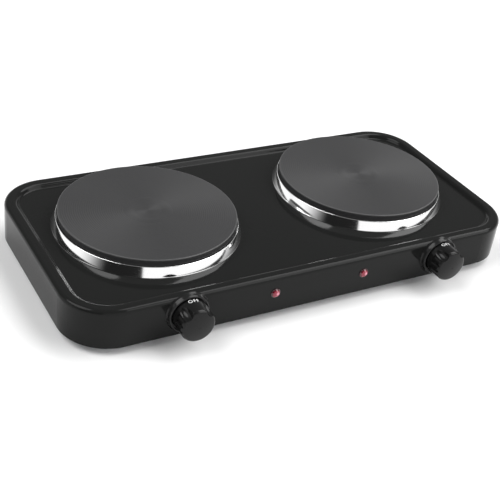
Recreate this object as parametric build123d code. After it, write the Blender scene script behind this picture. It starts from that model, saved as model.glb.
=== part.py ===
"""Double electric hot plate: a low enamelled pan that carries two round cast-iron plates,
with a rotary thermostat and an indicator lamp for each plate on the front wall.

Frame: millimetres, +X along the width, -Y towards the front (the knob side), +Z up.
The origin is on the surface that the feet stand on, under the middle of the overall box.
"""
from build123d import *
from math import asin, atan, cos, degrees, pi, radians, sin, tan
import os

# ---------------------------------------------------------------- driving dimensions
body_length = 520.0         # pan, left to right
body_depth = 251.0          # pan, front to back
corner_radius = 49.0        # pan's corners, seen from above
foot_height = 8.0           # gap under the pan's lower edge
skirt_height = 42.0         # from the pan's lower edge to the top of its rim
sheet = 1.0                 # pan's sheet steel, with its enamel
rim_width = 12.0            # outer wall to the inner edge of the rim's top
rim_round = 4.5             # round between the wall and the rim's top
deck_drop = 4.5             # how far the flat deck lies below the rim
step_width = 3.0            # slanted step from the rim down to the deck
step_round_high = 5.2       # round between the rim's top and the step
step_round_low = 3.4        # round between the step and the deck

plate_diameter = 185.0      # cast-iron plate
plate_spacing = 264.0       # between the two plates' centres
plate_back_shift = 10.0     # plates' centres behind the middle of the pan
plate_stand = 17.5          # plate's top above the deck
ring_diameter = 197.0       # stainless trim ring, at the deck

knob_spacing = 299.0        # between the two knobs' axes
knob_axis_height = 25.0     # above the pan's lower edge
knob_diameter = 36.0        # at the knob's back edge
knob_reach = 27.0           # knob's front, measured from the front wall
lamp_spacing = 106.0        # between the two lamps' axes
lamp_height = 23.0          # above the pan's lower edge
bushing_reach = 5.0         # cord bushing's flange, behind the rear wall

# ---------------------------------------------------------------- worked out from them
SIDES = {"left": -1, "right": 1}
skirt_low = foot_height
rim_top = foot_height + skirt_height
deck_top = rim_top - deck_drop
deck_under = deck_top - sheet
plate_top = deck_top + plate_stand
front_face = -body_depth / 2
front_inside = front_face + sheet
rear_face = body_depth / 2
rear_inside = rear_face - sheet
plate_x = plate_spacing / 2
plate_y = plate_back_shift
knob_x = knob_spacing / 2
knob_z = skirt_low + knob_axis_height
lamp_x = lamp_spacing / 2
lamp_z = skirt_low + lamp_height
box_shift = (knob_reach - bushing_reach) / 2   # puts the origin under the middle of the box


def along_y(x, z, y_start):
    """Place with its local Z pointing towards the back, local X kept along X."""
    return Pos(x, y_start, z) * Rot(-90, 0, 0)


def rod_y(radius, y_from, y_to, x, z):
    """Round bar parallel to Y."""
    length = y_to - y_from
    bar = Cylinder(radius, length, align=(Align.CENTER, Align.CENTER, Align.MIN))
    return along_y(x, z, y_from) * bar


def rod_z(radius, z_from, z_to, x=0.0, y=0.0):
    """Round bar parallel to Z."""
    bar = Cylinder(radius, z_to - z_from, align=(Align.CENTER, Align.CENTER, Align.MIN))
    return Pos(x, y, z_from) * bar


def block(x_from, x_to, y_from, y_to, z_from, z_to):
    """Rectangular block between the given faces."""
    size = Box(x_to - x_from, y_to - y_from, z_to - z_from)
    return Pos((x_from + x_to) / 2, (y_from + y_to) / 2, (z_from + z_to) / 2) * size


def rounded_slab(length, depth, radius, z_from, z_to):
    """Slab with rounded corners, centred on the pan."""
    outline = Plane.XY.offset(z_from) * RectangleRounded(length, depth, radius)
    return extrude(outline, z_to - z_from)


def dome_arc(radius, edge_height, top_height):
    """Arc from a turned shape's edge up to its axis, part of a ball centred on that axis."""
    rise = top_height - edge_height
    ball = (radius ** 2 + rise ** 2) / (2 * rise)
    half_way = asin(radius / ball) / 2
    middle = (ball * sin(half_way), top_height - ball + ball * cos(half_way))
    return ThreePointArc((radius, edge_height), middle, (0, top_height))


# ---------------------------------------------------------------- pan and underside
deck_hole_radius = 84.0
tab_length, tab_depth, tab_thick = 22.0, 14.0, 2.0
base_low = skirt_low + 1.0
base_thick = 1.2
base_high = base_low + base_thick
base_gap = 0.5              # between the base plate's edge and the skirt
foot_x, foot_y = 214.0, 92.0
foot_radius_low, foot_radius_high = 8.5, 10.5
tab_x = 150.0
screw_hole = 2.1
bushing_hole = 7.0
bushing_z = skirt_low + 18.0
spindle_hole = 4.5
lamp_hole = 4.6
thermostat_screw_x = 12.5   # each side of a knob's axis


def pan_block(inset):
    """Solid pan shape, drawn in from the outside by the sheet's thickness for its hollow."""
    length, depth = body_length - 2 * inset, body_depth - 2 * inset
    radius = corner_radius - inset
    top = rim_top - inset
    low = skirt_low if inset == 0 else skirt_low - 1
    outer = rounded_slab(length, depth, radius, low, top)
    outer = fillet(outer.edges().group_by(Axis.Z)[-1], rim_round - inset)
    floor_inset = rim_width + step_width - inset
    floor = Plane.XY.offset(top - deck_drop) * RectangleRounded(
        body_length - 2 * floor_inset, body_depth - 2 * floor_inset, corner_radius - floor_inset)
    slant = -degrees(atan(step_width / deck_drop))
    return outer - extrude(floor, deck_drop, taper=slant)


def soften_step(pan):
    """Round the step between the rim and the deck along its upper and lower edge."""
    rim_face = pan.faces().filter_by(Axis.Z).sort_by(Axis.Z)[-1]
    pan = fillet(rim_face.inner_wires()[0].edges(), step_round_high)
    deck_face = pan.faces().filter_by(Axis.Z).sort_by(Axis.Z)[-2]
    return fillet(deck_face.outer_wire().edges(), step_round_low)


def make_housing():
    """Enamelled pan: rounded rim, recessed deck, skirt, and the tabs for the base plate."""
    pan = soften_step(pan_block(0)) - pan_block(sheet)
    for side in SIDES.values():
        pan -= rod_z(deck_hole_radius, deck_under - 1, rim_top, side * plate_x, plate_y)
        pan -= rod_y(spindle_hole, front_face - 1, front_inside + 1, side * knob_x, knob_z)
        pan -= rod_y(lamp_hole, front_face - 1, front_inside + 1, side * lamp_x, lamp_z)
        for step in (-1, 1):
            x = side * knob_x + step * thermostat_screw_x
            pan -= rod_y(screw_hole, front_face - 1, front_inside + 1, x, knob_z)
        for end in (-1, 1):
            wall = end * (body_depth / 2 - sheet)
            inner = wall - end * tab_depth
            tab = block(side * tab_x - tab_length / 2, side * tab_x + tab_length / 2,
                        min(wall, inner), max(wall, inner), base_high, base_high + tab_thick)
            pan += tab - rod_z(screw_hole, base_high - 1, base_high + 3, side * tab_x,
                               wall - end * tab_depth / 2)
    return pan - rod_y(bushing_hole, rear_inside - 1, rear_face + 1, 0, bushing_z)


def make_base_plate():
    """Flat steel cover under the pan, with vent slots below each plate."""
    margin = 2 * (sheet + base_gap)
    plate = rounded_slab(body_length - margin, body_depth - margin,
                         corner_radius - sheet - base_gap, base_low, base_high)
    slot_length, slot_width, slot_pitch, slots_in_row = 46.0, 4.0, 12.0, 8
    vent = extrude(SlotOverall(slot_length, slot_width, rotation=90), base_thick + 2)
    for side in SIDES.values():
        for row in (-1, 1):
            for place in range(slots_in_row):
                x = side * plate_x + (place - (slots_in_row - 1) / 2) * slot_pitch
                plate -= Pos(x, plate_y + row * 32, base_low - 1) * vent
        for end in (-1, 1):
            plate -= rod_z(screw_hole, base_low - 1, base_high + 1, side * foot_x, end * foot_y)
            wall = end * (body_depth / 2 - sheet - tab_depth / 2)
            plate -= rod_z(screw_hole, base_low - 1, base_high + 1, side * tab_x, wall)
    return plate - rod_z(screw_hole, base_low - 1, base_high + 1, 0, earth_y)


foot_bore, foot_pocket, foot_pocket_depth = 2.3, 4.6, 3.5


def make_foot():
    """Tapered rubber foot with a pocket for its screw head."""
    shape = Cone(foot_radius_low, foot_radius_high, base_low,
                 align=(Align.CENTER, Align.CENTER, Align.MIN))
    shape -= rod_z(foot_bore, -1, base_low + 1)
    shape -= rod_z(foot_pocket, -1, foot_pocket_depth)
    return fillet(shape.edges().group_by(Axis.Z)[0].sort_by(SortBy.RADIUS)[-1], 1.2)


def pan_screw(length, thread_radius=2.0, head_radius=3.8, head_height=2.4):
    """Pan-head screw, head downwards, its seat at the origin and its shank upwards."""
    head = Cylinder(head_radius, head_height, align=(Align.CENTER, Align.CENTER, Align.MAX))
    head = fillet(head.edges().group_by(Axis.Z)[0], 1.0)
    cross = Box(4.2, 1.0, 1.4, align=(Align.CENTER, Align.CENTER, Align.MIN))
    cross += Rot(0, 0, 90) * cross
    head -= Pos(0, 0, -head_height) * cross
    shank = Cylinder(thread_radius, length, align=(Align.CENTER, Align.CENTER, Align.MIN))
    return head + chamfer(shank.edges().group_by(Axis.Z)[-1], 0.4)


def group(shapes):
    """Several separate solids in one node."""
    return Compound([solid for shape in shapes for solid in shape.solids()])


def make_foot_screws():
    """Screws that hold the feet to the base plate."""
    seat = foot_pocket_depth
    return group(Pos(side * foot_x, end * foot_y, seat) * pan_screw(base_high - seat + 3)
                 for side in SIDES.values() for end in (-1, 1))


def make_base_screws():
    """Screws that hold the base plate up against the pan's tabs."""
    reach = base_thick + tab_thick + 2
    places = [(side * tab_x, end * (body_depth / 2 - sheet - tab_depth / 2))
              for side in SIDES.values() for end in (-1, 1)]
    return group(Pos(x, y, base_low) * pan_screw(reach, head_height=1.8) for x, y in places)


# ---------------------------------------------------------------- heating plates
plate_radius = plate_diameter / 2
face_thick = 8.0            # iron above the heating channel
channel_inner, channel_outer = 26.0, 82.0
seat_high = 1.6             # plate's lower edge above the deck, on the ring's flange
recess_radius, recess_depth = 21.0, 0.8
plate_low = deck_top + seat_high
channel_top = plate_top - face_thick
stud_radius = 4.0
stud_top = channel_top + 2
cover_thick = 1.0


def make_hot_plate():
    """Cast-iron plate: turned face with a shallow centre recess, heating channel below."""
    plate = rod_z(plate_radius, plate_low, plate_top)
    plate = chamfer(plate.edges().group_by(Axis.Z)[-1], 1.0)
    plate -= rod_z(recess_radius, plate_top - recess_depth, plate_top + 1)
    channel = rod_z(channel_outer, plate_low - 1, channel_top)
    plate -= channel - rod_z(channel_inner, plate_low - 2, channel_top + 1)
    return plate - rod_z(stud_radius, plate_low - 1, stud_top)


ring_sheet = 0.7
ring_foot_radius = ring_diameter / 2
ring_crest_radius = plate_radius + 1.4
ring_crest_high = 10.5      # above the deck
ring_seat_inner = 85.0


def make_trim_ring():
    """Stainless trim ring: a steep outer bevel and a flange that the plate stands on."""
    profile = make_face(Polyline(
        (ring_foot_radius, 0),
        (ring_foot_radius - 0.5, 1.2),
        (ring_crest_radius, ring_crest_high),
        (ring_crest_radius - ring_sheet, ring_crest_high),
        (ring_crest_radius - ring_sheet, seat_high),
        (ring_seat_inner, seat_high),
        (ring_seat_inner, seat_high - ring_sheet),
        (ring_crest_radius, seat_high - ring_sheet),
        (ring_crest_radius, ring_crest_high - 2 * ring_sheet),
        (ring_foot_radius - 1.5, 0),
        close=True))
    return revolve(Plane.XZ * profile, Axis.Z)


coil_radii = (38.0, 52.0, 66.0)
coil_tube = 2.4
coil_z = channel_top - 3.4
coil_gap = 26.0             # degrees left open at the terminals
coil_clearance = 0.05
cover_high = plate_low - 0.5
bed_clearance = 0.2


def coil_ring(radius, tube, open_angle):
    """Open ring of round section, its gap towards the front."""
    section = Plane.XZ * Pos(radius, coil_z) * Circle(tube)
    ring = revolve(section, Axis.Z, revolution_arc=360 - open_angle)
    return Rot(0, 0, -90 + open_angle / 2) * ring


def make_heating_coils():
    """Three open rings of wound resistance wire, each drawn as the round it fills."""
    return group(coil_ring(radius, coil_tube, coil_gap) for radius in coil_radii)


def make_magnesia_bed():
    """Pressed magnesia that fills the channel around the coils."""
    bed = rod_z(channel_outer - bed_clearance, cover_high, channel_top)
    bed -= rod_z(channel_inner + bed_clearance, cover_high - 1, channel_top + 1)
    for radius in coil_radii:
        bed -= coil_ring(radius, coil_tube + coil_clearance, coil_gap - 1)
    return bed


def make_element_cover():
    """Thin steel cover under the magnesia, with a hole for the plate's hub."""
    cover = rod_z(channel_outer - bed_clearance, cover_high - cover_thick, cover_high)
    return cover - rod_z(channel_inner + bed_clearance, cover_high - 2, cover_high + 1)


insulator_y = -48.0         # in front of the plate's centre
insulator_length, insulator_depth, insulator_height = 26.0, 12.0, 9.0
insulator_round = 2.5
insulator_low = cover_high - cover_thick - insulator_height


def make_terminal_insulator():
    """Ceramic block on the cover, where the coil's ends come out."""
    ceramic = block(-insulator_length / 2, insulator_length / 2,
                    insulator_y - insulator_depth / 2, insulator_y + insulator_depth / 2,
                    insulator_low, cover_high - cover_thick)
    return fillet(ceramic.edges().filter_by(Axis.Z), insulator_round)


bridge_low = 34.0           # underside of the bridge's middle
bridge_thick, bridge_width = 2.0, 30.0
bridge_half = deck_hole_radius + 8.0
stud_low = 19.5
nut_across, nut_height = 13.0, 6.5
washer_radius, washer_thick = 8.0, 1.6


def make_centre_stud():
    """Threaded stud from the plate's hub down through the bridge."""
    stud = rod_z(stud_radius, stud_low, stud_top)
    return chamfer(stud.edges().group_by(Axis.Z)[0], 0.8)


def make_clamp_bridge():
    """Pressed steel bridge that pulls the plate down against the deck."""
    middle, shoulder = 52.0, 72.0
    upper = deck_under - bridge_thick
    profile = make_face(Polyline(
        (-bridge_half, deck_under), (-bridge_half, upper), (-shoulder, upper),
        (-middle, bridge_low), (middle, bridge_low), (shoulder, upper),
        (bridge_half, upper), (bridge_half, deck_under), (shoulder - 1, deck_under),
        (middle - 1, bridge_low + bridge_thick), (1 - middle, bridge_low + bridge_thick),
        (1 - shoulder, deck_under), close=True))
    bar = Pos(0, bridge_width / 2, 0) * extrude(Plane.XZ * profile, bridge_width)
    return bar - rod_z(stud_radius + 0.3, bridge_low - 1, bridge_low + bridge_thick + 1)


def make_stud_nut():
    """Flanged hexagon nut under the bridge."""
    washer = rod_z(washer_radius, bridge_low - washer_thick, bridge_low)
    hexagon = RegularPolygon(nut_across / 2, 6, major_radius=False)
    body = extrude(Plane.XY.offset(bridge_low - washer_thick - nut_height) * hexagon, nut_height)
    return washer + body - rod_z(stud_radius, 0, bridge_low + 1)


# ---------------------------------------------------------------- knobs and thermostats
knob_radius = knob_diameter / 2
knob_back = 4.0             # from the front wall
knob_end_radius, knob_end = 17.7, 21.6        # where the side meets the round at the front
knob_nose = (17.1, 23.9)    # radius and reach halfway round the front edge
knob_face_radius, knob_face_edge = 15.0, 25.3
bezel_radius = 21.0
bezel_root_radius = 22.5
bezel_reach = 5.6
bezel_well_radius, bezel_well_depth = knob_radius + 1.4, 2.6
bezel_lip = 1.6             # width of the round on the collar's front edge
screw_seat = 0.6            # thermostat screws' heads, from the front wall
pocket_radius = 4.4
spindle_radius = 3.0
bore_slack = 0.06
flute_pitch = 20            # degrees between two flutes
flute_first = 60            # degrees from the pointer to the first flute on either side
flute_radius, flute_sink, flute_start = 2.2, 1.0, 12.0
scoop_long, scoop_short = 12.5, 6.5
scoop_angle = 41.0          # each side of the pointer
scoop_tilt = 4.0            # degrees that a scoop leans towards the axis at the front
scoop_axis, scoop_middle = 20.3, 21.0         # a scoop's centre: from the axis, from the wall
flat_depth = 0.8            # cut off the spindle's round for the knob's flat
spindle_outer = knob_reach - 7.0


def front_round(profile_points):
    """Turned shape on an axis that points out of the front wall; points are (radius, reach)."""
    turned = revolve(Plane.XZ * make_face(Polyline(*profile_points, close=True)), Axis.Z)
    return Rot(90, 0, 0) * turned


def make_bezel():
    """Round collar between the front wall and the knob, with a well that the knob sits in."""
    well_floor = bezel_reach - bezel_well_depth
    collar = front_round([
        (spindle_hole, 0), (bezel_root_radius, 0), (bezel_radius + 0.5, 1.6),
        (bezel_radius, bezel_reach - bezel_lip), (bezel_radius - 0.45, bezel_reach - 0.45),
        (bezel_radius - 1.2, bezel_reach), (bezel_well_radius, bezel_reach),
        (bezel_well_radius, well_floor), (spindle_hole, well_floor)])
    pocket = front_round([(0, screw_seat), (pocket_radius, screw_seat),
                          (pocket_radius, bezel_reach), (0, bezel_reach)])
    hole = front_round([(0, -1), (screw_hole, -1), (screw_hole, bezel_reach), (0, bezel_reach)])
    for step in (-1, 1):
        collar -= Pos(step * thermostat_screw_x, 0, 0) * (pocket + hole)
    return collar


def knob_blank():
    """Knob before its grips are cut: nearly straight side, rounded front edge, low dome."""
    side = Polyline((0, knob_back), (knob_radius, knob_back), (knob_end_radius, knob_end))
    edge = ThreePointArc((knob_end_radius, knob_end), knob_nose,
                         (knob_face_radius, knob_face_edge))
    dome = dome_arc(knob_face_radius, knob_face_edge, knob_reach)
    profile = make_face(side + edge + dome + Line((0, knob_reach), (0, knob_back)))
    return revolve(Plane.XZ * profile, Axis.Z)


def knob_scoop(hand):
    """Egg-shaped finger grip beside the pointer, leaning in towards the knob's front."""
    upper_half = Pos(0, scoop_short / 2) * Rectangle(2 * scoop_long, scoop_short)
    egg = revolve(Ellipse(scoop_long, scoop_short) & upper_half, Axis.X)
    leaning = Pos(0, scoop_axis, scoop_middle) * Rot(scoop_tilt, 0, 0) * Rot(0, 90, 0) * egg
    return Rot(0, 0, hand * scoop_angle) * leaning


def make_knob():
    """Control knob: fluted grip, and two scoops that leave a pointer between them."""
    knob = knob_blank()
    flute = Pos(knob_end_radius + flute_radius - flute_sink, 0, flute_start) * Cylinder(
        flute_radius, knob_reach, align=(Align.CENTER, Align.CENTER, Align.MIN))
    for angle in range(flute_first, 361 - flute_first, flute_pitch):
        knob -= Rot(0, 0, 90 + angle) * flute
    for hand in (-1, 1):
        knob -= knob_scoop(hand)
    socket = rod_z(spindle_radius, knob_back - 1, spindle_outer)
    flat = block(-spindle_radius, spindle_radius, spindle_radius - flat_depth, spindle_radius + 1,
                 knob_back - 2, spindle_outer + 1)
    knob -= socket - flat
    return Rot(90, 0, 0) * knob


frame_thick = 1.5
frame_half_x, frame_half_z = 19.0, 9.0
guide_radius, guide_length = 6.0, 7.0
arm_reach = 27.0            # from the wall's inside to the arms' ends
stack_near, stack_far = 16.0, 27.0
stack_half_x, stack_half_z = 15.0, 6.5
spindle_collar = 4.4
collar_near = frame_thick + guide_length + 0.4
collar_far = collar_near + 2.0
spindle_tip = 0.7           # spindle behind its collar
pin_radius, pin_travel = 1.5, 1.2
pin_near = collar_far + 1.0
pin_far = stack_far + 0.2
leaf_near = pin_far + pin_travel + 0.5
leaf_thick = 0.5
leaf_half_width, leaf_reach = 4.0, 12.0


def make_thermostat_frame():
    """Steel bracket behind the front wall with the spindle's guide and two arms."""
    back = block(-frame_half_x, frame_half_x, 0, frame_thick, -frame_half_z, frame_half_z)
    guide = rod_y(guide_radius, frame_thick, frame_thick + guide_length, 0, 0)
    frame = back + guide
    for hand in (-1, 1):
        near, far = hand * stack_half_x, hand * (stack_half_x + frame_thick)
        frame += block(min(near, far), max(near, far), frame_thick, arm_reach, -5, 5)
        frame -= rod_y(screw_hole, -1, frame_thick + 1, hand * thermostat_screw_x, 0)
    return frame - rod_y(spindle_radius + bore_slack, -1, frame_thick + guide_length + 1, 0, 0)


def make_spindle():
    """Steel spindle with a flat for the knob and a collar inside the frame."""
    outer = -(sheet + spindle_outer)
    inner = collar_far + spindle_tip
    shaft = rod_y(spindle_radius, outer, inner, 0, 0) + rod_y(spindle_collar, collar_near,
                                                              collar_far, 0, 0)
    flat_end = -(sheet + knob_back)
    return shaft - block(-spindle_radius, spindle_radius, outer - 1, flat_end,
                         spindle_radius - flat_depth, spindle_radius + 1)


def make_thermostat_stack():
    """Ceramic body that carries the contacts and guides the push pin."""
    ceramic = block(-stack_half_x, stack_half_x, stack_near, stack_far,
                    -stack_half_z, stack_half_z)
    ceramic += block(stack_half_x - 6, stack_half_x, stack_far, leaf_near,
                     -stack_half_z, stack_half_z)
    return ceramic - rod_y(pin_radius + bore_slack, stack_near - 1, stack_far + 1, 0, 0)


def make_push_pin():
    """Ceramic pin between the spindle's end and the contact leaf."""
    pin = rod_y(pin_radius, pin_near, pin_far, 0, 0)
    return fillet(pin.edges().filter_by(GeomType.CIRCLE), 0.4)


def make_contact_leaf():
    """Bimetal leaf held at one end on the ceramic body."""
    leaf = block(-leaf_reach, stack_half_x, leaf_near, leaf_near + leaf_thick,
                 -leaf_half_width, leaf_half_width)
    contact = block(-leaf_reach, -leaf_reach / 2, leaf_near - 0.3, leaf_near, -2, 2)
    return leaf + contact


def make_thermostat_screws():
    """Screws through the bezels and the front wall into the thermostats' frames."""
    seat = front_face - screw_seat
    screw = Rot(-90, 0, 0) * pan_screw(screw_seat + sheet + frame_thick + 1.2)
    return group(Pos(side * knob_x + step * thermostat_screw_x, seat, knob_z) * screw
                 for side in SIDES.values() for step in (-1, 1))


# ---------------------------------------------------------------- indicator lamps
lens_radius, lens_rise, lens_flange = 5.3, 3.6, 0.8
lamp_body_radius = 4.4
lamp_body_length = 19.0


def make_lamp_lens():
    """Red domed lens on the outside of the front wall."""
    base = Polyline((0, 0), (lens_radius, 0), (lens_radius, lens_flange))
    dome = dome_arc(lens_radius, lens_flange, lens_rise)
    profile = make_face(base + dome + Line((0, lens_rise), (0, 0)))
    return Rot(90, 0, 0) * revolve(Plane.XZ * profile, Axis.Z)


def make_lamp_body():
    """Lamp's barrel through the front wall, with the neon inside drawn solid."""
    barrel = rod_y(lamp_body_radius, 0, lamp_body_length, 0, 0)
    return fillet(barrel.edges().group_by(Axis.Y)[-1], 0.8)


def make_lamp_clips():
    """Spring clips that hold the lamps from behind the wall."""
    clips = []
    for side in SIDES.values():
        clip = Rot(-90, 0, 0) * Box(15, 13, 0.6, align=(Align.CENTER, Align.CENTER, Align.MIN))
        clip -= rod_y(lamp_body_radius, -1, 2, 0, 0)
        clips.append(Pos(side * lamp_x, front_inside, lamp_z) * clip)
    return group(clips)


# ---------------------------------------------------------------- supply
bushing_bore = 3.75
bushing_flange = 10.0
bushing_inner_reach = 8.0
terminal_half_x, terminal_depth, terminal_height = 19.0, 16.0, 13.0
terminal_back = rear_inside - 22.0
terminal_front = terminal_back - terminal_depth
terminal_poles = (-12.0, 0.0, 12.0)
terminal_bore = 1.9
earth_y = terminal_front - 26.0


def make_cord_bushing():
    """Plastic bushing in the rear wall that the supply cord passes through."""
    body = rod_y(bushing_hole - 0.1, rear_inside - bushing_inner_reach, rear_face, 0, bushing_z)
    flange = rod_y(bushing_flange, rear_face, rear_face + bushing_reach, 0, bushing_z)
    flange = fillet(flange.edges().group_by(Axis.Y)[-1], 1.5)
    collar = rod_y(bushing_flange - 1, rear_inside - 3, rear_inside, 0, bushing_z)
    bore = rod_y(bushing_bore, rear_inside - 20, rear_face + 20, 0, bushing_z)
    return body + flange + collar - bore


def make_terminal_block():
    """Three-pole ceramic terminal block on the base plate."""
    ceramic = block(-terminal_half_x, terminal_half_x, terminal_front, terminal_back,
                    base_high, base_high + terminal_height)
    for x in terminal_poles:
        for row in (-1, 1):
            y = (terminal_front + terminal_back) / 2 + row * 4.5
            ceramic -= rod_z(terminal_bore, base_high + 5, base_high + terminal_height + 1, x, y)
    for x in (-6, 6):
        ceramic -= block(x - 0.8, x + 0.8, terminal_front - 1, terminal_back + 1,
                         base_high + 9, base_high + terminal_height + 1)
    return ceramic


def make_terminal_screws():
    """Brass clamping screws in the terminal block, two for each pole."""
    screws = []
    for x in terminal_poles:
        for row in (-1, 1):
            y = (terminal_front + terminal_back) / 2 + row * 4.5
            screw = rod_z(terminal_bore, base_high + 5, base_high + 11, x, y)
            slot = block(x - 3, x + 3, y - 0.4, y + 0.4, base_high + 10.2, base_high + 12)
            screws.append(screw - slot)
    return group(screws)


def make_earth_stud():
    """Brass earthing screw and nut on the base plate."""
    stud = rod_z(2.0, base_high - 2, base_high + 9, 0, earth_y)
    head = rod_z(3.8, base_low - 0.8, base_low, 0, earth_y)
    hexagon = extrude(Plane.XY.offset(base_high) * RegularPolygon(3.5, 6, major_radius=False), 3.2)
    return stud + head + rod_z(2.0, base_low, base_high, 0, earth_y) + Pos(0, earth_y, 0) * hexagon


# ---------------------------------------------------------------- wiring inside the pan
wire_radius = 1.2
run_z = 16.0                # height of the wires above the floor of the room
joint_gap = 0.15            # between a wire's end and what it is fastened to
leaf_back = front_inside + leaf_near + leaf_thick + joint_gap
stack_back = front_inside + stack_far + joint_gap
element_y = plate_y + insulator_y
element_low = insulator_low - joint_gap
lamp_back = front_face + lamp_body_length + joint_gap
pole_y = terminal_front - joint_gap
pole_z = base_high + 3.0


def bend_radii(points):
    """Largest even bend at each corner: 0.45 of the shorter run over the half turn's tangent."""
    corners = []
    for before, corner, after in zip(points, points[1:], points[2:]):
        run_in, run_out = Vector(corner) - Vector(before), Vector(after) - Vector(corner)
        half_turn = radians(run_in.get_angle(run_out)) / 2
        corners.append(0.45 * min(run_in.length, run_out.length) / tan(half_turn))
    return corners


def make_wire(points):
    """Insulated wire of straight runs and tangent arcs through the given corners."""
    path = FilletPolyline(*points, radius=bend_radii(points))
    start = Plane(origin=path @ 0, z_dir=path % 0)
    wire = sweep(start * Circle(wire_radius), path=path)
    expected = pi * wire_radius ** 2 * path.length
    print("wire", round(path.length, 1), "mm, bends", [round(r) for r in bend_radii(points)],
          "volume / (section x length)", round(wire.volume / expected, 4))
    return wire


def live_wire(side):
    """From the terminal block, forwards along the middle, to the thermostat's leaf."""
    end_x = side * (knob_x - 12)
    return make_wire([(side * 5, pole_y, pole_z), (side * 5.5, 40, run_z),
                      (side * 7, -48, run_z + 0.5), (side * 62, -82, run_z + 2),
                      (side * 112, -76, run_z + 8), (end_x, -78, knob_z - 1),
                      (end_x, leaf_back, knob_z)])


def load_wire(side):
    """From the thermostat's body to the outer pin of the element."""
    start_x = side * (knob_x + 13.5)
    end_x = side * (plate_x + 6)
    return make_wire([(start_x, stack_back, knob_z), (start_x, -84, knob_z - 2),
                      (side * (plate_x + 16), -62, 24), (end_x, element_y - 4, 24),
                      (end_x, element_y, element_low)])


def neutral_wire(side):
    """From the element's inner pin back to the terminal block."""
    start_x = side * (plate_x - 6)
    return make_wire([(start_x, element_y, element_low), (start_x, element_y + 3, 24),
                      (side * 92, -8, run_z + 1), (side * 40, 46, run_z),
                      (side * 15, 66, run_z), (side * 14, pole_y, pole_z)])


def lamp_leads(side):
    """The lamp's two leads: one to the thermostat, one back to the terminal block."""
    to_thermostat = make_wire([(side * (lamp_x + 2), lamp_back, lamp_z),
                               (side * (lamp_x + 4), -96, lamp_z - 3),
                               (side * 96, -100, lamp_z - 6),
                               (side * (knob_x - 26), front_inside + 22, knob_z - 3),
                               (side * (knob_x - stack_half_x - frame_thick - 2 * joint_gap),
                                front_inside + 21, knob_z - 3)])
    to_block = make_wire([(side * (lamp_x - 2), lamp_back, lamp_z),
                          (side * (lamp_x - 5), -92, lamp_z - 3), (side * 30, -58, 25),
                          (side * 16, 16, 24), (side * 10, 62, 22),
                          (side * 9.5, pole_y, pole_z + 4)])
    return group([to_thermostat, to_block])


def earth_wire():
    """From the terminal block's middle pole to the earthing screw."""
    return make_wire([(0, pole_y, pole_z), (0, pole_y - 10, pole_z + 1.5),
                      (0, earth_y + 10, base_high + 2.5), (0, earth_y + 4.2, base_high + 1.6)])


# ---------------------------------------------------------------- the whole object
def build_nodes():
    """Every sub-part under its node name, in the pan's own frame."""
    nodes = {
        "housing": make_housing(),
        "base_plate": make_base_plate(),
        "base_screws": make_base_screws(),
        "foot_screws": make_foot_screws(),
        "thermostat_screws": make_thermostat_screws(),
        "lamp_clips": make_lamp_clips(),
        "cord_bushing": make_cord_bushing(),
        "terminal_block": make_terminal_block(),
        "terminal_screws": make_terminal_screws(),
        "earth_stud": make_earth_stud(),
        "wire_earth": earth_wire(),
    }
    for name, side in SIDES.items():
        nodes["foot_front_" + name] = Pos(side * foot_x, -foot_y, 0) * make_foot()
        nodes["foot_rear_" + name] = Pos(side * foot_x, foot_y, 0) * make_foot()
        on_plate = Pos(side * plate_x, plate_y, 0)
        nodes["hot_plate_" + name] = on_plate * make_hot_plate()
        nodes["trim_ring_" + name] = on_plate * Pos(0, 0, deck_top) * make_trim_ring()
        nodes["heating_coils_" + name] = on_plate * make_heating_coils()
        nodes["magnesia_bed_" + name] = on_plate * make_magnesia_bed()
        nodes["element_cover_" + name] = on_plate * make_element_cover()
        nodes["terminal_insulator_" + name] = on_plate * make_terminal_insulator()
        nodes["centre_stud_" + name] = on_plate * make_centre_stud()
        nodes["clamp_bridge_" + name] = on_plate * make_clamp_bridge()
        nodes["stud_nut_" + name] = on_plate * make_stud_nut()
        outside = Pos(side * knob_x, front_face, knob_z)
        inside = Pos(side * knob_x, front_inside, knob_z)
        nodes["knob_bezel_" + name] = outside * make_bezel()
        nodes["knob_" + name] = outside * make_knob()
        nodes["thermostat_spindle_" + name] = inside * make_spindle()
        nodes["thermostat_frame_" + name] = inside * make_thermostat_frame()
        handed = inside * (Rot(0, 180, 0) if side > 0 else Rot(0, 0, 0))
        nodes["thermostat_stack_" + name] = handed * make_thermostat_stack()
        nodes["contact_leaf_" + name] = handed * make_contact_leaf()
        nodes["push_pin_" + name] = inside * make_push_pin()
        nodes["lamp_lens_" + name] = Pos(side * lamp_x, front_face, lamp_z) * make_lamp_lens()
        nodes["lamp_body_" + name] = Pos(side * lamp_x, front_face, lamp_z) * make_lamp_body()
        nodes["wire_live_" + name] = live_wire(side)
        nodes["wire_load_" + name] = load_wire(side)
        nodes["wire_neutral_" + name] = neutral_wire(side)
        nodes["lamp_leads_" + name] = lamp_leads(side)
    return nodes


os.makedirs("parts", exist_ok=True)
for node_name, shape in build_nodes().items():
    export_step(Pos(0, box_shift, 0) * shape, f"parts/{node_name}.step")
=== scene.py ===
"""Finished look of a double electric hot plate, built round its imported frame.

Laid out as an add-on and run as a script. Every size is in metres, in the frame's own axes:
+X along the width, -Y towards the knobs, +Z up, the origin on the table under the middle.
"""
from math import asin, cos, pi, radians, sin

import bmesh
import bpy
from bpy.props import FloatProperty, FloatVectorProperty, IntProperty, PointerProperty, StringProperty
from mathutils import Matrix, Vector


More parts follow.
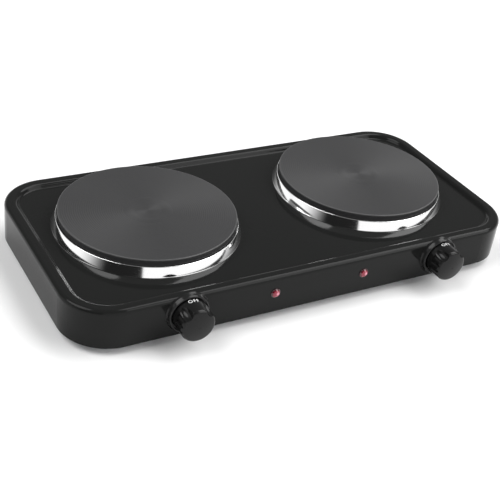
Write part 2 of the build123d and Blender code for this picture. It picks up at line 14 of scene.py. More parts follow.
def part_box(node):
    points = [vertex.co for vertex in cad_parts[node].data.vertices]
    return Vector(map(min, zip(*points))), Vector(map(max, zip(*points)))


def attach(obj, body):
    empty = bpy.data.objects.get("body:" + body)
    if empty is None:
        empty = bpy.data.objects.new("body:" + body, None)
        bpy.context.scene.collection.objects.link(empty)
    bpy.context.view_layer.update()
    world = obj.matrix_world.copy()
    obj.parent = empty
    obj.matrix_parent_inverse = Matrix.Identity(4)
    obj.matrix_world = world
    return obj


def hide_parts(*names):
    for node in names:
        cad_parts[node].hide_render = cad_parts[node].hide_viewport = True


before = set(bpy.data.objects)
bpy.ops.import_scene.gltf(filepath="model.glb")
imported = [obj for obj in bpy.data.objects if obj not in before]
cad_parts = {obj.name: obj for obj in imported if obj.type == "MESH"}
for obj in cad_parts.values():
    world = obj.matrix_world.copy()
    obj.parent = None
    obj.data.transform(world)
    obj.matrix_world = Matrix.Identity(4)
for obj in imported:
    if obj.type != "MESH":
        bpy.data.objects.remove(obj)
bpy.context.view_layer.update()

bl_info = {
    "name": "Double hot plate",
    "version": (1, 0, 0),
    "blender": (4, 5, 0),
    "location": "3D View > Sidebar > Hot plate",
    "description": "Makes the finished pieces of a double hot plate round its packed frame",
    "category": "Object",
}

SIDES = ("left", "right")
MM = 0.001


# ---------------------------------------------------------------- what the user may change
def colour_property(name, description, default):
    return FloatVectorProperty(name=name, description=description, default=default,
                               subtype="COLOR", size=3, min=0, max=1)


def length_property(name, description, default):
    return FloatProperty(name=name, description=description, default=default,
                         min=0, unit="LENGTH", precision=5)


class HotPlateSizes(bpy.types.PropertyGroup):
    """Fine sizes that the frame leaves open"""

    groove_pitch: length_property("Groove pitch", "Between two turned grooves on a plate", 2.2 * MM)
    groove_depth: length_property("Groove depth", "Depth of a plate's turned grooves", 0.09 * MM)
    plate_edge: length_property("Plate edge", "Round on a plate's upper edge", 0.9 * MM)
    ring_crest: length_property("Ring crest", "Round on a trim ring's upper edge", 0.5 * MM)
    ring_bulge: length_property("Ring bulge", "How far a trim ring's side swells", 0.12 * MM)
    letter_height: length_property("Letter height", "Height of the letters on a knob", 4.2 * MM)
    spin_steps: IntProperty(name="Spin steps", description="Facets round a turned piece",
                            default=160, min=24, max=360)


class HotPlateColours(bpy.types.PropertyGroup):
    """Colours of the pieces that are seen from outside"""

    enamel: colour_property("Enamel", "Glossy enamel of the pan", (0.0105, 0.0108, 0.0105))
    iron: colour_property("Iron", "Face of the cooking plates", (0.03, 0.03, 0.031))
    ring: colour_property("Trim ring", "Polished steel of the trim rings", (0.9, 0.9, 0.9))
    knob: colour_property("Knob", "Plastic of the knobs", (0.005, 0.005, 0.005))
    bezel: colour_property("Bezel", "Plastic of the collars round the knobs", (0.01, 0.01, 0.01))
    lens: colour_property("Lens", "Indicator lamp's lens", (0.3, 0.005, 0.03))
    letters: colour_property("Letters", "Print on the knobs", (0.85, 0.85, 0.85))


class HotPlateStage(bpy.types.PropertyGroup):
    """Camera and lights"""

    azimuth: FloatProperty(name="Azimuth", description="Camera's turn to the left of the front",
                           default=radians(-33.03), subtype="ANGLE")
    elevation: FloatProperty(name="Elevation", description="Camera's height as an angle",
                             default=radians(32.88), subtype="ANGLE")
    roll: FloatProperty(name="Roll", description="Camera's lean to one side",
                        default=radians(7.92), subtype="ANGLE")
    distance: length_property("Distance", "Camera to the point that it looks at", 1.0991)
    lens: FloatProperty(name="Lens", description="Focal length on a 36 mm sensor",
                        default=71.14, unit="CAMERA")
    sun_strength: FloatProperty(name="Soft lights", description="Strength of each soft overhead light",
                                default=2.1, min=0)
    band: FloatProperty(name="Horizon", description="Brightness of the walls round the table",
                        default=1.15, min=0)
    room: FloatProperty(name="Room", description="Brightness of the room above the walls",
                        default=0.3, min=0)
    floor: colour_property("Floor", "Plain pale floor", (0.86, 0.86, 0.86))


# ---------------------------------------------------------------- shader trees
class Value:
    """A number that a shader tree works out; sums on it add Math nodes."""

    def __init__(self, shader, socket):
        self.shader = shader
        self.socket = socket

    def math(self, operation, *others):
        """This number first, then any others, through one Math node."""
        return self.shader.node("ShaderNodeMath", {"operation": operation},
                                dict(enumerate((self, *others))))

    def __add__(self, other):
        return self.math("ADD", other)

    def __sub__(self, other):
        return self.math("SUBTRACT", other)

    def __rsub__(self, other):
        return self.math("MULTIPLY", -1.0).math("ADD", other)

    def __mul__(self, other):
        return self.math("MULTIPLY", other)

    def __truediv__(self, other):
        return self.math("DIVIDE", other)

    def __pow__(self, other):
        return self.math("POWER", other)

    __radd__ = __add__
    __rmul__ = __mul__


class Shader:
    """A node tree that is filled through one method, and the finishes' common steps."""

    def __init__(self, owner):
        owner.use_nodes = True
        self.owner = owner
        self.tree = owner.node_tree
        self.tree.nodes.clear()

    def node(self, kind, settings, inputs, output=0):
        """New node with its settings and a value or link for each socket; gives one output, if any."""
        made = self.tree.nodes.new(kind)
        for name, value in settings.items():
            setattr(made, name, value)
        for key, value in inputs.items():
            if isinstance(value, Value):
                self.tree.links.new(value.socket, made.inputs[key])
            else:
                made.inputs[key].default_value = value
        return Value(self, made.outputs[output]) if made.outputs else None

    def place(self, centre=(0, 0, 0)):
        """Object coordinates, counted from the given centre."""
        place = self.node("ShaderNodeTexCoord", {}, {}, "Object")
        return self.node("ShaderNodeMapping", {}, {
            "Vector": place, "Location": [-part for part in centre]})

    def split(self, vector):
        """The three parts of a vector."""
        parts = self.node("ShaderNodeSeparateXYZ", {}, {0: vector})
        outputs = parts.socket.node.outputs
        return [Value(self, socket) for socket in outputs]

    def noise(self, vector, size, detail=2.0):
        """Soft cloud, 0 to 1, whose blots are about as large as size."""
        return self.node("ShaderNodeTexNoise", {}, {
            "Vector": vector, "Scale": 1 / size, "Detail": detail})

    def fade(self, value, start, end, low=0.0, high=1.0):
        """Smooth change from low to high as a value goes from start to end."""
        return self.node("ShaderNodeMapRange", {"interpolation_type": "SMOOTHSTEP"},
                         {"Value": value, "From Min": start, "From Max": end,
                          "To Min": low, "To Max": high})

    def blend(self, mask, first, second):
        """One colour over another."""
        return self.node("ShaderNodeMix", {"data_type": "RGBA"},
                         {0: mask, 6: opaque(first), 7: opaque(second)}, 2)

    def relief(self, height, depth):
        """Normal of a surface that stands up by depth where height is 1."""
        return self.node("ShaderNodeBump", {}, {"Height": height, "Distance": depth})

    def surface(self, inputs):
        """Principled surface, joined to the material's output."""
        look = self.node("ShaderNodeBsdfPrincipled", {}, inputs)
        self.node("ShaderNodeOutputMaterial", {}, {"Surface": look})
        return self.owner


def opaque(colour):
    """A colour with its alpha, or a link to one."""
    return colour if isinstance(colour, Value) else (*colour[:3], 1.0)


def new_finish(name):
    return Shader(bpy.data.materials.new(name))


# ---------------------------------------------------------------- finishes seen from outside
def black_enamel():
    """Fired gloss enamel: deep black, with a faint orange peel and a few dull clouds."""
    shader = new_finish("black_enamel")
    place = shader.place()
    clouds = shader.noise(place, 40 * MM, 3)
    peel = shader.noise(place, 2.6 * MM, 1)
    dust = shader.fade(shader.noise(place, 0.5 * MM, 1), 0.72, 0.8)
    dark = colours().enamel
    colour = shader.blend(dust * 0.25, dark, (0.05, 0.05, 0.05))
    return shader.surface({
        "Base Color": colour,
        "Roughness": 0.05 + clouds * 0.06,
        "IOR": 1.21,
        "Normal": shader.relief(peel, 0.012 * MM),
    })


# Between these radii hands and pans polish a plate's edge, and its colour is lightened there too, as a
# painted highlight.
WEAR_AND_HIGHLIGHT_START, WEAR_AND_HIGHLIGHT_END = 90.6 * MM, 92.2 * MM    # where hands and pans polish a plate's edge


def turned_iron(name, centre):
    """Cast iron turned on a lathe: fine rings about its centre, grain, and a polished upper edge whose
    colour is also lightened there as a painted highlight.
    """
    shader = new_finish(name)
    place = shader.place(centre)
    x, y, z = shader.split(place)
    radius = (x * x + y * y) ** 0.5
    rings = shader.node("ShaderNodeTexNoise", {"noise_dimensions": "1D"},
                        {"W": radius, "Scale": 1 / (0.45 * MM), "Detail": 2.0})
    grain = shader.noise(place, 0.35 * MM, 3)
    patches = shader.noise(place, 35 * MM, 3)
    # Wear and painted highlight: the upper edge's round gets lower roughness from real polish and a
    # lighter colour that is a painted highlight.
    wear_and_highlight = shader.fade(radius, WEAR_AND_HIGHLIGHT_START, WEAR_AND_HIGHLIGHT_END) * shader.fade(z, -1.6 * MM, -0.9 * MM)
    darker = [part * 0.72 for part in colours().iron]
    lighter = [part * 1.25 for part in colours().iron]
    colour = shader.blend(rings * 0.5 + grain * 0.35 + patches * 0.15, darker, lighter)
    # Painted highlight: lighter grey on the upper edge's round.
    colour = shader.blend(wear_and_highlight * 0.3, colour, (0.14, 0.14, 0.14))
    return shader.surface({
        "Base Color": colour,
        "Metallic": 0.15,
        "Roughness": 0.44 + grain * 0.12 - wear_and_highlight * 0.1,
        "Anisotropic": 0.55,
        "Normal": shader.relief(rings * 0.7 + grain * 0.3, 0.014 * MM),
    })


def polished_ring(name, centre):
    """Bright stainless steel, polished round and round, so its marks run along the ring."""
    shader = new_finish(name)
    x, y, z = shader.split(shader.place(centre))
    radius = (x * x + y * y) ** 0.5
    across = shader.node("ShaderNodeCombineXYZ", {}, {
        "X": x / radius * 0.004, "Y": y / radius * 0.004, "Z": radius + z})
    marks = shader.noise(across, 0.25 * MM, 3)
    bands = shader.noise(across, 1.6 * MM, 2)
    steel = colours().ring
    colour = shader.blend(marks * 0.5 + bands * 0.5, [part * 0.93 for part in steel], steel)
    return shader.surface({
        "Base Color": colour,
        "Metallic": 1.0,
        "Roughness": 0.05 + marks * 0.07,
        "Anisotropic": 0.4,
        "Normal": shader.relief(marks, 0.0015 * MM),
    })


def moulded_plastic(name, colour, roughness, grain_depth):
    """Injection-moulded plastic: fine grain and slightly uneven gloss."""
    shader = new_finish(name)
    place = shader.place()
    grain = shader.noise(place, 0.4 * MM, 2)
    patches = shader.noise(place, 9 * MM, 3)
    lighter = [part * 1.6 + 0.001 for part in colour]
    return shader.surface({
        "Base Color": shader.blend(patches * 0.5 + grain * 0.3, colour, lighter),
        "Roughness": roughness + patches * 0.08,
        "IOR": 1.3,
        "Normal": shader.relief(grain, grain_depth),
    })


def knob_plastic():
    return moulded_plastic("knob_plastic", colours().knob, 0.16, 0.004 * MM)


def bezel_plastic():
    return moulded_plastic("bezel_plastic", colours().bezel, 0.12, 0.003 * MM)


def bushing_plastic():
    return moulded_plastic("bushing_plastic", (0.016, 0.016, 0.016), 0.4, 0.01 * MM)


# Painted highlight on each lens: how far it sits right of and above the middle, and its pale pink
# colour.
HIGHLIGHT_RIGHT, HIGHLIGHT_UP = 1.1 * MM, 0.7 * MM
HIGHLIGHT_COLOUR = (0.8, 0.33, 0.42)


def red_lens(name, centre):
    """Deep red plastic, with a painted highlight as a pale pink patch right of and above the middle,
    and painted shade darkening the dome's edge.
    """
    shader = new_finish(name)
    place = shader.place(centre)
    x, y, z = shader.split(place)
    streaks = shader.noise(place, 0.9 * MM, 2)
    # Painted highlight: pale pink colour that fades out round a point right of and above the lens's
    # middle.
    from_highlight = ((x - HIGHLIGHT_RIGHT) ** 2 + (z - HIGHLIGHT_UP) ** 2) ** 0.5
    painted_highlight = 1 - shader.fade(from_highlight, 0.4 * MM, 2.6 * MM)
    # Painted shade: the colour darkens towards the dome's edge.
    painted_rim_shade = shader.fade((x * x + z * z) ** 0.5, 3.2 * MM, 4.9 * MM)
    red = colours().lens
    colour = shader.blend(streaks * 0.5, red, [part * 0.5 for part in red])
    colour = shader.blend(painted_highlight * (0.6 + streaks * 0.5), colour, HIGHLIGHT_COLOUR)
    return shader.surface({
        "Base Color": shader.blend(painted_rim_shade, colour, [part * 0.12 for part in red]),
        "Roughness": 0.06 + streaks * 0.05,
        "Coat Weight": 0.6,
        "Coat Roughness": 0.04,
    })


def letter_paint():
    """White pad print, a little rubbed."""
    shader = new_finish("letter_paint")
    wear = shader.noise(shader.place(), 0.5 * MM, 3)
    white = colours().letters
    return shader.surface({
        "Base Color": shader.blend(wear * 0.4, white, [part * 0.8 for part in white]),
        "Roughness": 0.45 + wear * 0.1,
    })


def moulded_rubber():
    """Matt rubber with moulding grain and a little dust."""
    shader = new_finish("rubber")
    place = shader.place()
    grain = shader.noise(place, 0.5 * MM, 4)
    dust = shader.noise(place, 6 * MM, 3)
    return shader.surface({
        "Base Color": shader.blend(dust, (0.012, 0.012, 0.012), (0.035, 0.034, 0.033)),
        "Roughness": 0.7 + grain * 0.2,
        "Normal": shader.relief(grain, 0.04 * MM),
    })


# ---------------------------------------------------------------- finishes underneath and inside
def galvanised_steel():
    """Zinc-coated sheet: flat crystals that each catch the light differently."""
    shader = new_finish("galvanised_steel")
    place = shader.place()
    crystals = shader.node("ShaderNodeTexVoronoi", {}, {
        "Vector": place, "Scale": 1 / (9 * MM)}, "Color")
    tone, gloss, _ = shader.split(crystals)
    grain = shader.noise(place, 0.6 * MM, 2)
    return shader.surface({
        "Base Color": shader.blend(tone * 0.8 + grain * 0.2,
                                   (0.42, 0.43, 0.45), (0.62, 0.63, 0.65)),
        "Metallic": 0.9,
        "Roughness": 0.3 + gloss * 0.18,
        "Normal": shader.relief(grain, 0.006 * MM),
    })


def metal(name, dark, light, roughness, mark_size):
    """Bare or plated metal with fine tool marks."""
    shader = new_finish(name)
    place = shader.place()
    marks = shader.noise(place, mark_size, 3)
    stains = shader.noise(place, 14 * mark_size, 3)
    return shader.surface({
        "Base Color": shader.blend(marks * 0.4 + stains * 0.6, dark, light),
        "Metallic": 1.0,
        "Roughness": roughness + marks * 0.15,
        "Normal": shader.relief(marks, 0.02 * mark_size),
    })


def plated_steel():
    return metal("plated_steel", (0.52, 0.52, 0.53), (0.72, 0.72, 0.72), 0.22, 0.5 * MM)


def bright_steel():
    return metal("bright_steel", (0.6, 0.6, 0.6), (0.78, 0.78, 0.78), 0.15, 0.4 * MM)


def cast_iron():
    return metal("cast_iron", (0.04, 0.04, 0.04), (0.09, 0.09, 0.09), 0.5, 0.6 * MM)


def resistance_wire():
    return metal("resistance_wire", (0.12, 0.1, 0.09), (0.3, 0.27, 0.24), 0.35, 0.5 * MM)


def brass():
    return metal("brass", (0.55, 0.38, 0.13), (0.78, 0.58, 0.25), 0.22, 0.4 * MM)


def mineral(name, base, speck, roughness, grain_depth):
    """Pressed or fired mineral with small dark specks."""
    shader = new_finish(name)
    place = shader.place()
    grain = shader.noise(place, 0.8 * MM, 4)
    specks = shader.fade(shader.noise(place, 0.5 * MM, 1), 0.66, 0.74)
    darker = [part * 0.88 for part in base]
    return shader.surface({
        "Base Color": shader.blend(specks * 0.6, shader.blend(grain, base, darker), speck),
        "Roughness": roughness + grain * 0.1,
        "Normal": shader.relief(grain, grain_depth),
    })


def magnesia():
    return mineral("magnesia", (0.72, 0.7, 0.64), (0.45, 0.42, 0.38), 0.85, 0.08 * MM)


def ceramic():
    return mineral("ceramic", (0.78, 0.75, 0.68), (0.5, 0.45, 0.38), 0.3, 0.02 * MM)


def lamp_barrel():
    return moulded_plastic("lamp_barrel", (0.6, 0.58, 0.52), 0.35, 0.006 * MM)


STRIPE_LENGTH = 9 * MM


def insulation(name, colour, stripe=None):
    """Soft wire insulation, scuffed along the way, with a second colour in patches if it has one."""
    shader = new_finish(name)
    place = shader.place()
    scuffs = shader.noise(place, 1.2 * MM, 3)
    colour = shader.blend(scuffs * 0.5, colour, [part * 0.7 for part in colour])
    if stripe:
        x, y, z = shader.split(place)
        turn = (y + z) * (2 * pi / STRIPE_LENGTH)
        turns = turn.math("SINE")
        colour = shader.blend(shader.fade(turns, -0.1, 0.1), colour, stripe)
    return shader.surface({
        "Base Color": colour,
        "Roughness": 0.38 + scuffs * 0.15,
        "Normal": shader.relief(scuffs, 0.01 * MM),
    })


def wire_brown():
    return insulation("wire_brown", (0.12, 0.04, 0.015))


def wire_black():
    return insulation("wire_black", (0.015, 0.015, 0.015))


def wire_blue():
    return insulation("wire_blue", (0.02, 0.09, 0.4))


def wire_green():
    return insulation("wire_green", (0.03, 0.25, 0.04), stripe=(0.75, 0.62, 0.03))


def wire_white():
    return insulation("wire_white", (0.7, 0.69, 0.66))


FINISHES = {
    "black_enamel": black_enamel,
    "galvanised_steel": galvanised_steel,
    "plated_steel": plated_steel,
    "rubber": moulded_rubber,
    "cast_iron": cast_iron,
    "bright_steel": bright_steel,
    "resistance_wire": resistance_wire,
    "magnesia": magnesia,
    "ceramic": ceramic,
    "brass": brass,
    "bezel_plastic": bezel_plastic,
    "knob_plastic": knob_plastic,
    "lamp_barrel": lamp_barrel,
    "bushing_plastic": bushing_plastic,
    "wire_brown": wire_brown,
    "wire_black": wire_black,
    "wire_blue": wire_blue,
    "wire_green": wire_green,
    "wire_white": wire_white,
}


def finish_named(name):
    """The finish of that name, made the first time that it is asked for."""
    finish = bpy.data.materials.get("finish_" + name)
    if finish is None:
        finish = FINISHES[name]()
        finish.name = "finish_" + name
    return finish


# ---------------------------------------------------------------- making pieces
def sizes():
    return bpy.context.scene.hot_plate_sizes


def colours():
    return bpy.context.scene.hot_plate_colours


def stage_settings():
    return bpy.context.scene.hot_plate_stage


def new_piece(name, mesh, material, body, sharp_angle=40):
    """Object at the origin from a bmesh, shaded smooth except at sharp edges."""
    bmesh.ops.recalc_face_normals(mesh, faces=mesh.faces)
    data = bpy.data.meshes.new(name)
    for face in mesh.faces:
        face.smooth = True
    mesh.to_mesh(data)
    mesh.free()
    data.set_sharp_from_angle(angle=radians(sharp_angle))
    data.materials.append(material)
    piece = bpy.data.objects.new(name, data)
    bpy.context.scene.collection.objects.link(piece)
    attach(piece, body)
    return piece


def turned(profile, steps):
    """Closed shape turned about the Z axis from a chain of (radius, height) points."""
    mesh = bmesh.new()
    corners = [mesh.verts.new((radius, 0, height)) for radius, height in profile]
    chain = [mesh.edges.new(pair) for pair in zip(corners, corners[1:])]
    bmesh.ops.spin(mesh, geom=corners + chain, cent=(0, 0, 0), axis=(0, 0, 1),
                   angle=2 * pi, steps=steps, use_merge=True)
    bmesh.ops.remove_doubles(mesh, verts=mesh.verts, dist=1e-7)
    return mesh


def arc(centre_radius, centre_height, radius, start, end, steps=6):
    """Points of an arc in a turned shape's profile; angles in degrees, 0 outwards, 90 up."""
    angles = [radians(start + (end - start) * step / steps) for step in range(steps + 1)]
    return [(centre_radius + radius * cos(angle), centre_height + radius * sin(angle))
            for angle in angles]


def facing_front(x, y, z):
    """Place of a shape that is turned about Z and has to point out of the front wall."""
    return Matrix.Translation((x, y, z)) @ Matrix.Rotation(pi / 2, 4, "X")


def middle_of(node):
    low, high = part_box(node)
    return (low + high) / 2


# ---------------------------------------------------------------- cooking plates
RECESS_RADIUS = 21 * MM
RECESS_DEPTH = 0.3 * MM
RAMP_WIDTH, RAMP_STEPS = 8 * MM, 12      # soft slope round the recess
RECESS_MARGIN, EDGE_MARGIN = 2.5 * MM, 0.8 * MM    # left flat inside and outside the grooves
LOWER_ROUND = 0.5 * MM
CHANNEL_INNER = 26 * MM
CHANNEL_OUTER = 82 * MM
IRON_ABOVE_CHANNEL = 8 * MM
STUD_RADIUS = 4 * MM
STUD_SINK = 2 * MM


def plate_profile(radius, low, top):
    """Half section of a plate: recess, turned grooves, rounded edge, and the channel below."""
    pitch, depth, edge = sizes().groove_pitch, sizes().groove_depth, sizes().plate_edge
    floor = top - RECESS_DEPTH
    profile = [(0, floor)]
    for step in range(RAMP_STEPS + 1):
        part = step / RAMP_STEPS
        rise = RECESS_DEPTH * (1 - cos(pi * part)) / 2
        profile.append((RECESS_RADIUS - RAMP_WIDTH * (1 - part), floor + rise))
    count = int((radius - edge - RECESS_RADIUS - RECESS_MARGIN) / pitch)
    start = radius - edge - EDGE_MARGIN - count * pitch
    for groove in range(count):
        inner = start + groove * pitch
        profile += [(inner, top), (inner + 0.3 * pitch, top - 0.55 * depth),
                    (inner + 0.5 * pitch, top - depth), (inner + 0.7 * pitch, top - 0.55 * depth)]
    profile += [(start + count * pitch, top)]
    profile += arc(radius - edge, top - edge, edge, 90, 0)
    profile += arc(radius - LOWER_ROUND, low + LOWER_ROUND, LOWER_ROUND, 0, -90, 3)
    channel = top - IRON_ABOVE_CHANNEL
    profile += [(CHANNEL_OUTER, low), (CHANNEL_OUTER, channel), (CHANNEL_INNER, channel),
                (CHANNEL_INNER, low), (STUD_RADIUS, low), (STUD_RADIUS, channel + STUD_SINK),
                (0, channel + STUD_SINK)]
    return profile


class HOTPLATE_OT_plates(bpy.types.Operator):
    """Turn both cast-iron plates, with their grooves"""

    bl_idname = "hot_plate.plates"
    bl_label = "Cooking plates"

    def execute(self, context):
        for side in SIDES:
            node = "hot_plate_" + side
            low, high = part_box(node)
            centre = middle_of(node)
            mesh = turned(plate_profile((high.x - low.x) / 2, low.z, high.z), sizes().spin_steps)
            bmesh.ops.translate(mesh, verts=mesh.verts, vec=(centre.x, centre.y, 0))
            finish = turned_iron("turned_iron_" + side, (centre.x, centre.y, high.z))
            piece = new_piece("plate_" + side, mesh, finish, "pan", 50)
            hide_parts(node)
        return {"FINISHED"}


# ---------------------------------------------------------------- trim rings
RING_SHEET = 0.7 * MM
RING_SEAT_RADIUS = 85 * MM
RING_SEAT_HEIGHT = 1.6 * MM
RING_CREST_GAP = 1.4 * MM    # between a plate's side and the outside of its ring's crest
FOOT_STEP, FOOT_HEIGHT, FOOT_WIDTH = 0.3 * MM, 1.0 * MM, 1.5 * MM    # small lip on the deck
SWELL_STEPS = 14


def ring_profile(foot_radius, crest_radius, deck, crest):
    """Half section of a trim ring: the seat below the plate, the crest, and the swelling side."""
    round_, bulge = sizes().ring_crest, sizes().ring_bulge
    seat = deck + RING_SEAT_HEIGHT
    inner = crest_radius - RING_SHEET
    profile = [(RING_SEAT_RADIUS, seat - RING_SHEET), (RING_SEAT_RADIUS, seat), (inner, seat),
               (inner, crest - round_)]
    top = arc(inner + round_, crest - round_, round_, 180, 35, 8)
    profile += top[1:]
    foot = (foot_radius - FOOT_STEP, deck + FOOT_HEIGHT)
    for step in range(1, SWELL_STEPS):
        part = step / SWELL_STEPS
        swell = bulge * 4 * part * (1 - part)
        profile.append((top[-1][0] + (foot[0] - top[-1][0]) * part + swell,
                        top[-1][1] + (foot[1] - top[-1][1]) * part + 0.5 * swell))
    profile += [foot, (foot_radius, deck + FOOT_HEIGHT / 2), (foot_radius, deck),
                (foot_radius - FOOT_WIDTH, deck), (crest_radius, seat - RING_SHEET),
                (RING_SEAT_RADIUS, seat - RING_SHEET)]
    return profile


class HOTPLATE_OT_rings(bpy.types.Operator):
    """Turn the two stainless trim rings"""

    bl_idname = "hot_plate.rings"
    bl_label = "Trim rings"

    def execute(self, context):
        for side in SIDES:
            node = "trim_ring_" + side
            low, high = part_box(node)
            plate_low, plate_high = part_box("hot_plate_" + side)
            centre = middle_of(node)
            crest_radius = (plate_high.x - plate_low.x) / 2 + RING_CREST_GAP
            profile = ring_profile((high.y - low.y) / 2, crest_radius, low.z, high.z)
            mesh = turned(profile, sizes().spin_steps)
            bmesh.ops.translate(mesh, verts=mesh.verts, vec=(centre.x, centre.y, 0))
            finish = polished_ring("polished_ring_" + side, (centre.x, centre.y, low.z))
            piece = new_piece("trim_ring_" + side + "_polished", mesh, finish, "pan", 50)
            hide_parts(node)
        return {"FINISHED"}


# ---------------------------------------------------------------- indicator lamps
LENS_FLANGE = 0.8 * MM
LENS_SHOULDER = 0.5 * MM       # flat between the flange's edge and the dome
FLANGE_ROUND = 0.3 * MM
DOME_STEPS, LENS_STEPS = 12, 48


def lens_profile(radius, rise):
    """Half section of a lens: flange with a rounded edge, and a dome that is part of a ball."""
    dome_radius, dome_rise = radius - LENS_SHOULDER, rise - LENS_FLANGE
    ball = (dome_radius ** 2 + dome_rise ** 2) / (2 * dome_rise)
    profile = [(0, 0), (radius, 0)]
    profile += arc(radius - FLANGE_ROUND, LENS_FLANGE - FLANGE_ROUND, FLANGE_ROUND, 0, 90, 4)
    for step in range(DOME_STEPS + 1):
        angle = asin(dome_radius / ball) * (1 - step / DOME_STEPS)
        profile.append((ball * sin(angle), rise - ball + ball * cos(angle)))
    return profile


class HOTPLATE_OT_lamps(bpy.types.Operator):
    """Turn the red lenses of the two indicator lamps"""

    bl_idname = "hot_plate.lamps"
    bl_label = "Indicator lamps"

    def execute(self, context):
        for side in SIDES:
            node = "lamp_lens_" + side
            low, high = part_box(node)
            centre = middle_of(node)
            radius, rise = (high.x - low.x) / 2, high.y - low.y
            mesh = turned(lens_profile(radius, rise), LENS_STEPS)
            place = facing_front(centre.x, high.y, centre.z)
            bmesh.ops.transform(mesh, matrix=place, verts=mesh.verts)
            finish = red_lens("lens_plastic_" + side, centre)
            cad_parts[node].material_slots[0].material = finish
            piece = new_piece("lens_" + side, mesh, finish, "pan", 50)
            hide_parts(node)
        return {"FINISHED"}


# ---------------------------------------------------------------- letters on the knobs
KNOB_REACH = 27 * MM           # knob's front, from the front wall
KNOB_BACK = 4 * MM             # knob's back edge, from the front wall
KNOB_TAPER = 0.017             # radius that the side loses for each step away from the wall
LETTER_REACH = 8.2 * MM        # middle of the letters, from the front wall
LETTER_TURN = radians(3)       # to the right of the top
LETTER_PROUD = 0.09 * MM
LETTER_SUNK = 0.03 * MM        # how far the print's back lies inside the plastic
FONT_PER_HEIGHT = 1.38         # font size that gives capitals of height 1
LETTER_SPACING = 1.2


def letter_mesh(word, height):
    """Flat letters, centred on the origin in X and Y, as a mesh."""
    curve = bpy.data.curves.new(word, "FONT")
    curve.body = word
    curve.size = height * FONT_PER_HEIGHT
    curve.space_character = LETTER_SPACING
    curve.align_x = "CENTER"
    curve.align_y = "CENTER"
    curve.resolution_u = 4
    holder = bpy.data.objects.new(word, curve)
    bpy.context.scene.collection.objects.link(holder)
    graph = bpy.context.evaluated_depsgraph_get()
    data = bpy.data.meshes.new_from_object(holder.evaluated_get(graph))
    mesh = bmesh.new()
    mesh.from_mesh(data)
    bpy.data.meshes.remove(data)
    bpy.data.objects.remove(holder)
    bmesh.ops.remove_doubles(mesh, verts=mesh.verts, dist=1e-6)
    bmesh.ops.triangulate(mesh, faces=mesh.faces)
    return mesh


class HOTPLATE_OT_letters(bpy.types.Operator):
    """Print the off mark on top of each knob, beside the wall"""

    bl_idname = "hot_plate.letters"
    bl_label = "Knob letters"

    word: StringProperty(name="Word", description="Mark at the knob's zero", default="OFF")

    def execute(self, context):
        for side in SIDES:
            low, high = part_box("knob_" + side)
            back_radius = (high.x - low.x) / 2
            mesh = letter_mesh(self.word, sizes().letter_height)
            solid = bmesh.ops.extrude_face_region(mesh, geom=mesh.faces[:])
            raised = {item for item in solid["geom"] if isinstance(item, bmesh.types.BMVert)}
            for corner in mesh.verts:
                reach = LETTER_REACH - corner.co.y
                lift = LETTER_PROUD if corner in raised else -LETTER_SUNK
                radius = back_radius - (reach - KNOB_BACK) * KNOB_TAPER + lift
                turn = corner.co.x / back_radius + LETTER_TURN
                corner.co = (radius * sin(turn), radius * cos(turn), reach - KNOB_REACH)
            centre = middle_of("thermostat_spindle_" + side)
            place = facing_front(centre.x, low.y, centre.z)
            bmesh.ops.transform(mesh, matrix=place, verts=mesh.verts)
            body = "knob_" + side + "_turning"
            piece = new_piece("off_mark_" + side, mesh, letter_paint(), body)
        return {"FINISHED"}


# ---------------------------------------------------------------- nodes kept as they are
class HOTPLATE_OT_finishes(bpy.types.Operator):
    """Give every node of the frame its finish, except the lenses, which the lamps bring"""

    bl_idname = "hot_plate.finishes"
    bl_label = "Frame finishes"

    def execute(self, context):
        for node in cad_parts.values():
            for slot in node.material_slots:
                if slot.material.name in FINISHES:
                    slot.material = finish_named(slot.material.name)
        return {"FINISHED"}


# ---------------------------------------------------------------- stage
AIM = Vector((-0.01002, 0.00783, -0.00457))
FLOOR_HALF = 30.0
SOFT_LIGHTS = {                # direction, and share of the strength
    "soft_right": ((0.6, 0.1, 0.9), 0.85),
    "soft_left": ((-0.6, 0.2, 0.9), 0.8),
    "soft_front": ((0.8, -0.7, 0.85), 0.6),
}
SOFT_ANGLE = radians(40)
# dark opening in the near wall: its two edges, each a fade, as turns to the camera's left
GAP_RIGHT_START, GAP_RIGHT_END = radians(-7), radians(-5)
GAP_LEFT_START, GAP_LEFT_END = radians(34), radians(74)
# walls' upper edges, each a fade, as heights of a direction of length 1
FAR_WALL = (0.08, 0.28)
NEAR_WALL = (0.42, 0.55)
OPENING = (0.5, 0.7)
OPENING_DARK = 0.95            # share of the room's light that the opening swallows


def add_camera():
    """Camera in front on the left, from its turn, height and lean."""
    settings = stage_settings()
    turn, height, lean = settings.azimuth, settings.elevation, settings.roll
    back = Vector((sin(turn) * cos(height), -cos(turn) * cos(height), sin(height)))
    level = Vector((cos(turn), sin(turn), 0))
    upright = back.cross(level)
    right = level * cos(lean) + upright * sin(lean)
    up = back.cross(right)
    data = bpy.data.cameras.new("camera")
    data.lens = settings.lens
    data.sensor_width = 36
    camera = bpy.data.objects.new("camera", data)
    camera.matrix_world = Matrix.LocRotScale(AIM + back * settings.distance,
                                             Matrix((right, up, back)).transposed(), None)
    bpy.context.scene.collection.objects.link(camera)
    bpy.context.scene.camera = camera


def add_lights():
    """Soft lights overhead: one on each side, and a weaker one in front."""
    for name, (place, share) in SOFT_LIGHTS.items():
        data = bpy.data.lights.new(name, "SUN")
        data.energy = stage_settings().sun_strength * share
        data.angle = SOFT_ANGLE
        light = bpy.data.objects.new(name, data)
        light.location = place
        light.rotation_euler = Vector(place).to_track_quat("Z", "Y").to_euler()
        bpy.context.scene.collection.objects.link(light)


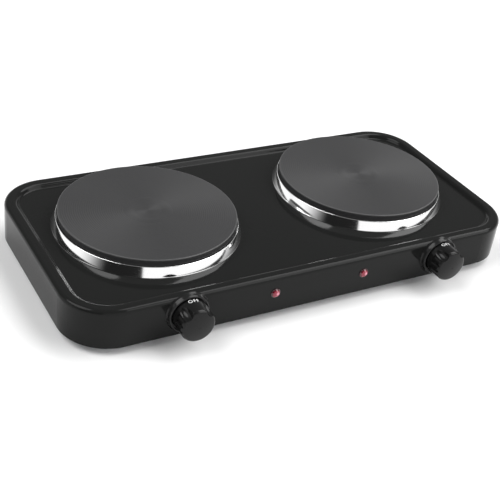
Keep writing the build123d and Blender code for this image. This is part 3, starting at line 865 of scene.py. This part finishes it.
def add_room():
    """Grey room: bright walls round the table, higher on the near side, with one dark opening."""
    settings = stage_settings()
    world = bpy.data.worlds.new("room")
    bpy.context.scene.world = world
    shader = Shader(world)
    x, y, z = shader.split(shader.node("ShaderNodeTexCoord", {}, {}, "Generated"))
    away = x * -sin(settings.azimuth) + y * cos(settings.azimuth)
    leftwards = x * -cos(settings.azimuth) + y * -sin(settings.azimuth)
    turn = leftwards.math("ARCTAN2", away * -1)
    gap = shader.fade(turn, GAP_RIGHT_START, GAP_RIGHT_END)
    gap = gap * (1 - shader.fade(turn, GAP_LEFT_START, GAP_LEFT_END))
    far = shader.fade(z, *FAR_WALL, 1.0, 0.0)
    near = shader.fade(z, *NEAR_WALL, 1.0, 0.0) * (1 - gap)
    facing = shader.fade(away, -0.1, 0.3)
    wall = far * facing + near * (1 - facing)
    room = settings.room * (1 - gap * shader.fade(z, *OPENING, OPENING_DARK, 0.0))
    grey = room + wall * (settings.band - settings.room)
    light = shader.node("ShaderNodeBackground", {}, {"Color": grey, "Strength": 1.0})
    shader.node("ShaderNodeOutputWorld", {}, {"Surface": light})


def add_floor():
    shader = new_finish("floor")
    paper = shader.noise(shader.place(), 3 * MM, 2)
    pale = stage_settings().floor
    material = shader.surface({
        "Base Color": shader.blend(paper * 0.3, pale, [part * 0.98 for part in pale]),
        "Roughness": 0.9,
        "Specular IOR Level": 0.1,
    })
    mesh = bmesh.new()
    bmesh.ops.create_grid(mesh, x_segments=1, y_segments=1, size=FLOOR_HALF)
    data = bpy.data.meshes.new("floor")
    mesh.to_mesh(data)
    mesh.free()
    data.materials.append(material)
    floor = bpy.data.objects.new("floor", data)
    bpy.context.scene.collection.objects.link(floor)


class HOTPLATE_OT_stage(bpy.types.Operator):
    """Set the camera, the lights and the pale floor"""

    bl_idname = "hot_plate.stage"
    bl_label = "Stage"

    def execute(self, context):
        view = context.scene.view_settings
        view.view_transform = "Standard"
        view.look = "None"
        add_camera()
        add_lights()
        add_room()
        add_floor()
        return {"FINISHED"}


# ---------------------------------------------------------------- panel and run
OPERATORS = (
    HOTPLATE_OT_stage,
    HOTPLATE_OT_finishes,
    HOTPLATE_OT_plates,
    HOTPLATE_OT_rings,
    HOTPLATE_OT_lamps,
    HOTPLATE_OT_letters,
)
GROUPS = {
    "hot_plate_sizes": HotPlateSizes,
    "hot_plate_colours": HotPlateColours,
    "hot_plate_stage": HotPlateStage,
}


class HOTPLATE_PT_panel(bpy.types.Panel):
    """Lists the pieces and what can be changed on them"""

    bl_label = "Double hot plate"
    bl_idname = "HOTPLATE_PT_panel"
    bl_space_type = "VIEW_3D"
    bl_region_type = "UI"
    bl_category = "Hot plate"

    def draw(self, context):
        for operator in OPERATORS:
            self.layout.operator(operator.bl_idname)
        for attribute, group in GROUPS.items():
            box = self.layout.box()
            for name in group.__annotations__:
                box.prop(getattr(context.scene, attribute), name)


CLASSES = (*GROUPS.values(), *OPERATORS, HOTPLATE_PT_panel)


def register():
    for made in CLASSES:
        bpy.utils.register_class(made)
    for attribute, group in GROUPS.items():
        setattr(bpy.types.Scene, attribute, PointerProperty(type=group))


def unregister():
    for attribute in GROUPS:
        delattr(bpy.types.Scene, attribute)
    for made in reversed(CLASSES):
        bpy.utils.unregister_class(made)


def main():
    register()
    bpy.ops.hot_plate.stage()
    bpy.ops.hot_plate.finishes()
    bpy.ops.hot_plate.plates()
    bpy.ops.hot_plate.rings()
    bpy.ops.hot_plate.lamps()
    bpy.ops.hot_plate.letters()


if __name__ == "__main__":
    main()
